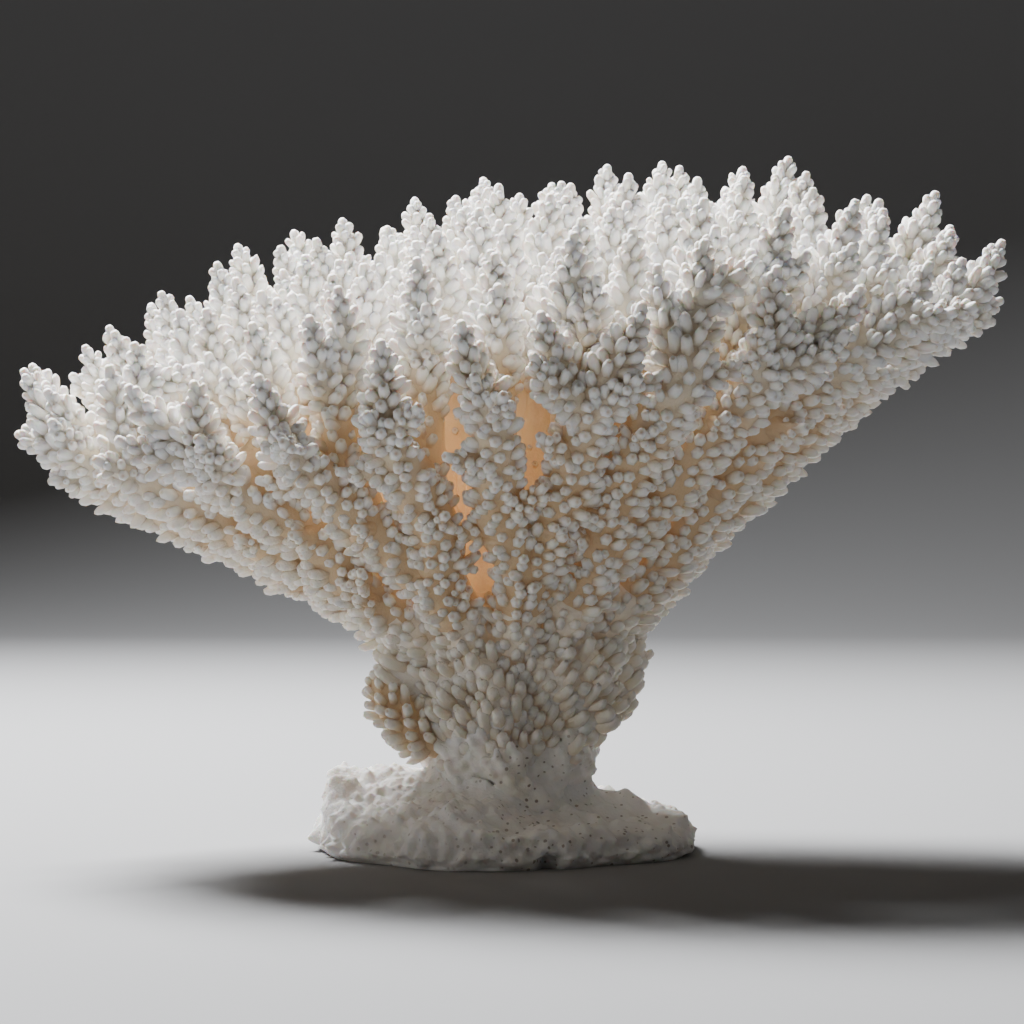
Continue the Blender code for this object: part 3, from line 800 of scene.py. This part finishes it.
def trunk_surface(rows=64, columns=150):
    """The trunk as one closed grid with soft lumps on it."""
    height = np.linspace(TRUNK_LEVELS[0], TRUNK_LEVELS[-1], rows)[:, None]
    turn = np.arange(columns)[None] * 2 * math.pi / columns
    points = trunk_point(turn + 0 * height, height + 0 * turn)
    away = unit(points * [1, 1.2, 0])
    rough = trunk_lumps(points) + 0.0006 * lumps(points, 0.0050, 4)
    ends = np.array([[0, 0, TRUNK_LEVELS[0]], [0, 0, TRUNK_LEVELS[-1] + 0.002]])
    return closed_grid(points + away * rough[..., None], ends)


def trunk_cups(draw, count=560):
    """Blunt cups in a golden spiral on the trunk, bigger and closer together towards its top."""
    order = np.arange(count)
    height = 0.0180 + 0.0445 * ((order + 0.5) / count) ** 0.90
    turn = order * GOLDEN_TURN
    at = trunk_point(turn, height)
    spoke = unit(at * [1, 1.3, 0])
    at = at + spoke * trunk_lumps(at)[:, None]
    rise = soft_step(height, 0.012, 0.028)
    length = (0.0014 + 0.0052 * rise) * draw.uniform(0.55, 1.25, count)
    tilt = np.radians(52 + draw.uniform(-18, 18, count))[:, None]
    upward = unit(spoke * 0.25 + [0, 0, 1])
    start = unit(spoke * np.sin(tilt + 0.25) + upward * np.cos(tilt + 0.25))
    final = unit(spoke * np.sin(tilt - 0.35) + upward * np.cos(tilt - 0.35))
    radius = (0.0014 + 0.0004 * rise) * draw.uniform(0.75, 1.2, count)
    sizes = dict(length=length, radius=radius, pit=0.1 + 0 * turn)
    return dict(foot=at - start * 0.0012, start=start, final=final, spoke=spoke, **sizes)


def melted(thing, voxel, rounds):
    """The object's shells fused into one surface of small voxels, softened, as points and faces."""
    fuse = thing.modifiers.new("fuse", "REMESH")
    fuse.mode, fuse.voxel_size = "VOXEL", voxel
    soften = thing.modifiers.new("soften", "SMOOTH")
    soften.factor, soften.iterations = 0.5, rounds
    whole = thing.evaluated_get(bpy.context.evaluated_depsgraph_get()).to_mesh()
    points = np.empty(3 * len(whole.vertices), np.float32)
    whole.vertices.foreach_get("co", points)
    faces = np.empty(len(whole.loops), np.int32)
    whole.loops.foreach_get("vertex_index", faces)
    bpy.data.objects.remove(thing)
    return points.reshape(-1, 3).astype(float), faces.reshape(-1, 4)


blunt = kept(trunk_cups(cup_draw), -1, cloud, cloud_owner, cloud_core)
crisp = blunt["foot"][:, 2] > MELT_HEIGHT + 0.004 * cup_draw.standard_normal(len(blunt["foot"]))
rough_body = write_mesh("trunk_body", [trunk_surface(), cup_surface(picked(blunt, ~crisp))])
body, body_faces = melted(rough_body, MELT_VOXEL, 1)
body_marks = np.zeros((len(body), 3))
# Painted shade: the trunk's top, under the crown, gets part of the deep mark's cream tint and a faint
# glow.
body_marks[:, 1] = 0.30 * soft_step(body[:, 2], 0.030, 0.060)
middle = np.exp(-(((body[:, 0] - 0.008) / 0.013) ** 2)) * soft_step(-body[:, 1], 0.0, 0.01)
low_pores = 1 - soft_step(body[:, 2], 0.018, 0.028)
middle_pores = middle * (1 - soft_step(body[:, 2], 0.030, 0.050))
body_marks[:, 2] = np.maximum(low_pores, middle_pores)
roots = [i for i, s in enumerate(stems) if s["node"] == "trunk"]
parts = [(body, body_faces, np.zeros((0, 3), int), body_marks), cup_surface(picked(blunt, crisp))]
parts += [stem_surface(stems[i], shape_draw) for i in roots]
parts += [cup_surface(all_cups[i]) for i in roots if len(all_cups[i]["length"])]
pieces["trunk"] = write_mesh("trunk_coral", parts)
print("trunk:", faces_in(pieces["trunk"]), "triangles, of them fused:", 2 * len(body_faces))

# %% [markdown]
# ## The foot
#
# The foot is the crust that the colony laid over the rock it grew on, cut off flat below. It is
# thin, wide and uneven: a high lobe on the left, a lower mound on the right, a diagonal swelling at
# the front, and a rough broken edge with a small notch. Heights are worked out on rings that run in
# from the edge to the trunk, and then up a little, so the foot flows into the trunk. Old, nearly
# closed cups leave low bumps on it, most of all on the left lobe. Open pores come in the material.

# %% Foot surface
FOOT_CENTRE = np.array([-0.001, -0.004])
FOOT_LIP = 0.0085
FOOT_MOUNDS = (
    (-0.037, 0.004, 0.0150, 0.0140),
    (-0.020, -0.030, 0.0130, 0.0045),
    (0.031, 0.002, 0.0120, 0.0058),
    (0.012, 0.030, 0.0160, 0.0060),
    (0.010, -0.036, 0.0160, 0.0020),
    (-0.004, -0.034, 0.0055, 0.0042),
    (-0.010, -0.041, 0.0050, 0.0040),
    (-0.016, -0.047, 0.0045, 0.0030),
    (-0.0485, -0.010, 0.0032, 0.0050),
    (-0.0455, -0.020, 0.0035, 0.0035),
    (-0.0490, 0.006, 0.0035, 0.0045),
)
BUMP_COUNT, BUMP_SPREAD, BUMP_RISE = 900, 0.00110, 0.00120
EDGE_SHARE = 0.14
NOTCH_X, NOTCH_SPREAD, NOTCH_HEIGHT, NOTCH_DEPTH = 0.0115, 0.0026, 0.0036, 0.0050


def foot_edge(turn):
    """The foot's edge radius, an uneven round, by the turn."""
    wide = 0.0525 + 0.0022 * np.cos(2 * turn + 0.2) + 0.0018 * np.sin(3 * turn + 0.9)
    return wide + 0.0013 * np.cos(5 * turn + 2.1) + 0.0009 * np.sin(9 * turn)


def foot_height(x, y):
    """The foot's upper surface: a thin lip, low mounds, and a rise where the trunk stands."""
    z = FOOT_LIP + 0 * x
    for mound_x, mound_y, spread, rise in FOOT_MOUNDS:
        z = z + rise * np.exp(-((x - mound_x) ** 2 + (y - mound_y) ** 2) / (2 * spread**2))
    from_trunk = np.hypot(x, y * 1.08) - 0.0215
    return z + 0.0085 * np.exp(-np.clip(from_trunk, 0, None) / 0.0050)


def closed_cups(points):
    """Low round bumps: a Gaussian of the distance to the nearest of many places, row by row."""
    draw = np.random.default_rng(17)
    order = np.arange(BUMP_COUNT)
    reach = 0.054 * np.sqrt((order + 0.5) / BUMP_COUNT)
    turn = order * GOLDEN_TURN
    places = FOOT_CENTRE + reach[:, None] * np.stack([np.cos(turn), np.sin(turn)], axis=1)
    places = places + draw.uniform(-0.0005, 0.0005, places.shape)
    size = draw.uniform(0.3, 1.2, BUMP_COUNT)
    bumps = np.zeros(points.shape[:2])
    for row, line in enumerate(points[..., :2]):
        apart = norm(line[:, None] - places[None], axis=2)
        near = apart.argmin(axis=1)
        apart = apart[np.arange(len(line)), near]
        bumps[row] = size[near] * np.exp(-((apart / BUMP_SPREAD) ** 2))
    return bumps


def foot_surface(columns=430, rows=88):
    """The foot as one closed grid: under the edge, round it, and in over the top."""
    turn = np.arange(columns)[None] * 2 * math.pi / columns
    t = np.linspace(0, 1, rows)[:, None]
    up_edge = np.clip(t / EDGE_SHARE, 0, 1)
    inward = np.clip((t - EDGE_SHARE) / (1 - EDGE_SHARE), 0, 1)
    rim = foot_edge(turn)
    share = 0.970 + 0.030 * np.sin(math.pi / 2 * up_edge) - 0.70 * inward**0.95
    x = FOOT_CENTRE[0] + rim * share * np.cos(turn)
    y = FOOT_CENTRE[1] + rim * share * np.sin(turn)
    over = np.sqrt(soft_step(1 - share, -0.003, 0.075))
    z = 0.0035 * up_edge + (foot_height(x, y) - 0.0035) * over * (inward > 0)
    points = np.stack([x, y, z], axis=-1)
    rough = 0.0007 * lumps(points, 0.012, 8) + 0.0004 * lumps(points, 0.0048, 9)
    crumbs = 0.0007 * lumps(points, 0.0034, 10) * np.exp(-(((t - EDGE_SHARE) / 0.06) ** 2))
    away = unit(np.stack([np.cos(turn) + 0 * x, np.sin(turn) + 0 * x, 0 * x], axis=-1))
    left = 0.25 + 0.75 * soft_step(-x, -0.004, 0.014)
    points[..., 2] += (rough + BUMP_RISE * left * closed_cups(points)) * soft_step(t, 0.06, 0.24)
    at_edge = (1 - soft_step(t, 0.14, 0.34)) * soft_step(t, 0.0, 0.05)
    points += away * ((rough + crumbs) * at_edge)[..., None]
    notch = np.exp(-(((points[..., 0] - NOTCH_X) / NOTCH_SPREAD) ** 2)) * (points[..., 1] < 0)
    points[..., 2] += NOTCH_HEIGHT * notch * (1 - soft_step(t, 0.06, 0.18))
    points -= away * (NOTCH_DEPTH * notch * (1 - soft_step(t, 0.05, 0.13)))[..., None]
    points[..., 2] = np.maximum(points[..., 2], 0)
    points[0, :, 2] = 0
    ends = np.array([[FOOT_CENTRE[0], FOOT_CENTRE[1], 0], [0, 0, 0.0155]])
    points, quads, triangles, marks = closed_grid(points, ends)
    marks[:, 2] = 0.40 + 0.40 * soft_step(points[:, 0], -0.012, 0.004)
    return points, quads, triangles, marks


pieces["foot"] = write_mesh("foot_crust", [foot_surface()])
print("foot:", faces_in(pieces["foot"]), "triangles")
print("all:", sum(faces_in(p) for p in pieces.values()), "triangles")

# %% [markdown]
# ## Coral stone
#
# Bleached coral is chalky, and warm where light has passed through a lot of it. So the colour runs
# from white at the cups' lips to cream in the folds and amber deep inside, by the marks that each
# point carries: the cream and amber there are painted shade and painted glow of that light. Fine
# grain gives the sugary surface. Light through many thin walls is slow to trace, so a faint glow
# stands for it. The foot and the trunk have dark pores, painted with shade.

# %% Materials


def node_maker(name):
    """A new material, its shader, and short ways to add nodes and links to it."""
    material = bpy.data.materials.new(name)
    material.use_nodes = True
    tree = material.node_tree

    def add(kind, **values):
        node = tree.nodes.new(kind)
        for key, value in values.items():
            if key in node.bl_rna.properties:
                setattr(node, key, value)
            else:
                node.inputs[key.replace("_", " ")].default_value = value
        return node

    return material, tree.nodes["Principled BSDF"], add, tree.links.new


def set_sockets(node, values):
    """Plain values for a node's sockets, by their names."""
    for name, value in values.items():
        node.inputs[name].default_value = value


def blend_colours(add, link, amount, one, other):
    """A colour mix by an amount from another node. A colour is a node's socket or plain numbers."""
    mix = add("ShaderNodeMix", data_type="RGBA")
    link(amount, mix.inputs["Factor"])
    for socket, colour in ((mix.inputs[6], one), (mix.inputs[7], other)):
        if isinstance(colour, tuple):
            socket.default_value = (*colour, 1)
        else:
            link(colour, socket)
    return mix.outputs[2]


def stretch(add, link, source, low, high, new_low=0.0, new_high=1.0):
    """A value stretched from one range to another and kept inside it."""
    node = add("ShaderNodeMapRange", From_Min=low, From_Max=high, To_Min=new_low, To_Max=new_high)
    link(source, node.inputs["Value"])
    return node.outputs["Result"]


def combined(add, link, operation, one, other):
    """The sum or product of two nodes' values."""
    node = add("ShaderNodeMath", operation=operation)
    link(one, node.inputs[0])
    link(other, node.inputs[1])
    return node.outputs[0]


# Painted shade, warm, in the folds between cups: cream, and amber deeper in the crown.
FOLD_SHADE_CREAM = (0.90, 0.80, 0.64)
FOLD_SHADE_AMBER = (0.62, 0.42, 0.23)
PORES_PER_METRE = 400.0
# Painted shade: dark brown inside the pores.
PORE_SHADE_BROWN = (0.20, 0.135, 0.085)
# Painted shade and glint: warm brown in each cup's pit.
PIT_SHADE_BROWN = (0.55, 0.38, 0.22)
GLOW, GLOW_COLOUR = 0.15, (1.0, 0.64, 0.33, 1)
SCATTER = {
    "Subsurface Weight": 0.25,
    "Subsurface Radius": (1.0, 0.50, 0.22),
    "Subsurface Scale": 0.005,
}


def coral_stone(name, white, cream_tone_and_shade, deep_shade_and_glow_amber, pierced):
    """The coral's material with painted shade and glow. Pierced stone gets painted shade in pores
    where the pit mark is high.
    """
    material, shader, add, link = node_maker(name)
    blend, fit, both = (partial(tool, add, link) for tool in (blend_colours, stretch, combined))
    marks = add("ShaderNodeAttribute", attribute_name="marks")
    split = add("ShaderNodeSeparateXYZ")
    link(marks.outputs["Vector"], split.inputs[0])
    tip, deep, pit = split.outputs
    place = add("ShaderNodeTexCoord").outputs["Object"]
    mottle = add("ShaderNodeTexNoise", Scale=70.0, Detail=4.0)
    grain = add("ShaderNodeTexNoise", Scale=1300.0, Detail=3.0)
    link(place, mottle.inputs["Vector"])
    link(place, grain.inputs["Vector"])
    # Painted shade and glow: deeper in the crown the stone turns cream, then amber.
    colour = blend(fit(deep, 0.03, 0.42), white, cream_tone_and_shade)
    colour = blend(fit(deep, 0.35, 0.95), colour, deep_shade_and_glow_amber)
    patches = fit(mottle.outputs["Fac"], 0.46, 0.70, 0.0, 0.45)
    colour = blend(patches, colour, cream_tone_and_shade)
    # Painted shade in the folds: strongest where the tip mark is low, at the cups' feet.
    if not pierced:
        fold_shade = blend(fit(deep, 0.03, 0.34), FOLD_SHADE_CREAM, FOLD_SHADE_AMBER)
        fold_shade = blend(fit(deep, 0.45, 0.70), fold_shade, deep_shade_and_glow_amber)
        colour = blend(fit(tip, 0.0, 0.6, 0.85, 0.0), colour, fold_shade)
    # The cups' lips are pulled back towards white, out of the painted shade.
    colour = blend(fit(tip, 0.30, 1.00, 0.0, 0.55), colour, white)
    height = fit(grain.outputs["Fac"], 0.3, 0.7)
    if pierced:
        spots = add("ShaderNodeTexVoronoi", Scale=PORES_PER_METRE, Randomness=0.75)
        link(place, spots.inputs["Vector"])
        size = fit(mottle.outputs["Fac"], 0.35, 0.62, 0.05, -0.07)
        wide = both("ADD", spots.outputs["Distance"], size)
        hole = both("MULTIPLY", fit(wide, 0.12, 0.20, 1.0, 0.0), pit)
        # Painted shade in the pores, which the bump only dents.
        colour = blend(fit(hole, 0.0, 1.0, 0.0, 0.80), colour, PORE_SHADE_BROWN)
        height = both("ADD", fit(hole, 0.0, 1.0, 0.0, -4.0), height)
    else:
        # Painted shade and a warm glint in each cup's pit: brown at its pit point.
        colour = blend(fit(pit, 0.0, 1.0, 0.0, 0.6), colour, PIT_SHADE_BROWN)
    link(colour, shader.inputs["Base Color"])
    bump = add("ShaderNodeBump", Strength=0.4, Distance=0.0003)
    link(height, bump.inputs["Height"])
    link(bump.outputs["Normal"], shader.inputs["Normal"])
    link(fit(grain.outputs["Fac"], 0.3, 0.7, 0.50, 0.70), shader.inputs["Roughness"])
    glow = both("MULTIPLY", fit(deep, 0.15, 1.0, 0.0, GLOW), fit(tip, 0.0, 0.5, 1.0, 0.0))
    link(glow, shader.inputs["Emission Strength"])
    material.cycles.emission_sampling = "NONE"
    set_sockets(shader, {"Emission Color": GLOW_COLOUR, "Specular IOR Level": 0.35} | SCATTER)
    return material


# Each stone: white; cream for random patches and for painted shade partway down; amber for painted
# shade and glow deep inside; and whether it has pores.
STONES = {
    "limb": ((0.94, 0.94, 0.94), (0.93, 0.82, 0.65), (0.93, 0.72, 0.46), False),
    "trunk": ((0.92, 0.90, 0.86), (0.90, 0.81, 0.67), (0.90, 0.62, 0.33), True),
    "foot": ((0.92, 0.91, 0.89), (0.87, 0.82, 0.74), (0.82, 0.62, 0.42), True),
}
stones = {kind: coral_stone(f"{kind}_stone", *look) for kind, look in STONES.items()}
for node, piece in pieces.items():
    piece.data.materials.append(stones.get(node, stones["limb"]))
    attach(piece, "root")
    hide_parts(node)
print("materials:", [stone.name for stone in stones.values()])

# %% [markdown]
# ## Floor, light and camera
#
# The floor is plain and pale. One broad lamp above and behind the coral, a little to the left,
# makes the tips shine and leaves the outer wall in shade, as in the photo. A weak low lamp on the
# left grazes the foot. The camera looks level, from about 0.8 m in front.

# %% Stage


def lamp(name, place, goal, size, power, colour):
    """A square area lamp at a place, aimed at a goal."""
    light = bpy.data.lights.new(name, "AREA")
    light.shape, light.size, light.energy, light.color = "SQUARE", size, power, colour
    thing = placed(name, light)
    thing.location = place
    away = np.subtract(goal, place)
    flat = math.hypot(away[0], away[1])
    thing.rotation_euler = (math.atan2(flat, -away[2]), 0, math.atan2(-away[0], away[1]))


def sweep_surface(rows=60):
    """A floor that curves up into a backdrop: a flat run, a quarter round, and a wall."""
    bend_angle = np.linspace(0, math.pi / 2, rows - 2)
    y = np.concatenate([[-9.0], 1.4 + 0.9 * np.sin(bend_angle), [2.3]])
    z = np.concatenate([[0.0], 0.9 - 0.9 * np.cos(bend_angle), [3.2]])
    x = np.array([-9.0, 9.0])
    points = np.stack([x[None] + 0 * y[:, None], y[:, None] + 0 * x, z[:, None] + 0 * x], axis=-1)
    first = 2 * np.arange(rows - 1)
    return points.reshape(-1, 3), np.stack([first, first + 1, first + 3, first + 2], axis=1)


floor_points, floor_faces = sweep_surface()
floor_mesh = bpy.data.meshes.new("floor")
floor_mesh.from_pydata(floor_points.tolist(), [], floor_faces.tolist())
floor_mesh.polygons.foreach_set("use_smooth", np.ones(len(floor_faces), bool))
floor = placed("floor", floor_mesh)
floor_paint, floor_shader, _, _ = node_maker("floor_paint")
set_sockets(floor_shader, {"Base Color": (0.24, 0.24, 0.245, 1), "Roughness": 0.85})
floor_mesh.materials.append(floor_paint)
floor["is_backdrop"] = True

world = bpy.data.worlds.new("studio")
world.use_nodes = True
set_sockets(world.node_tree.nodes["Background"], {"Color": (1.0, 0.95, 0.88, 1), "Strength": 0.10})
bpy.context.scene.world = world
lamp("key", (-0.40, 0.55, 1.00), (0, 0, 0.17), 0.40, 92, (0.98, 0.99, 1.0))
lamp("side_fill", (-1.15, -0.75, 0.28), (0, 0, 0.05), 0.45, 1.3, (1.0, 0.92, 0.82))

camera_data = bpy.data.cameras.new("camera")
camera_data.lens, camera_data.sensor_width = 100, 36
camera = placed("camera", camera_data)
camera.location = (0.0016, -0.83, 0.098)
camera.rotation_euler = (math.pi / 2, 0, 0)
bpy.context.scene.camera = camera
print("camera at", tuple(round(v, 3) for v in camera.location))

# %% Measure the growth in size and finish
new_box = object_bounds()
boxes = {
    name: [list(map(float, corner)) for corner in box]
    for name, box in (("cad", cad_box), ("visual", new_box))
}
grown = 1000 * (np.array(boxes["visual"]) - np.array(boxes["cad"]))
print("grown by, in mm:", grown.round(1).tolist())
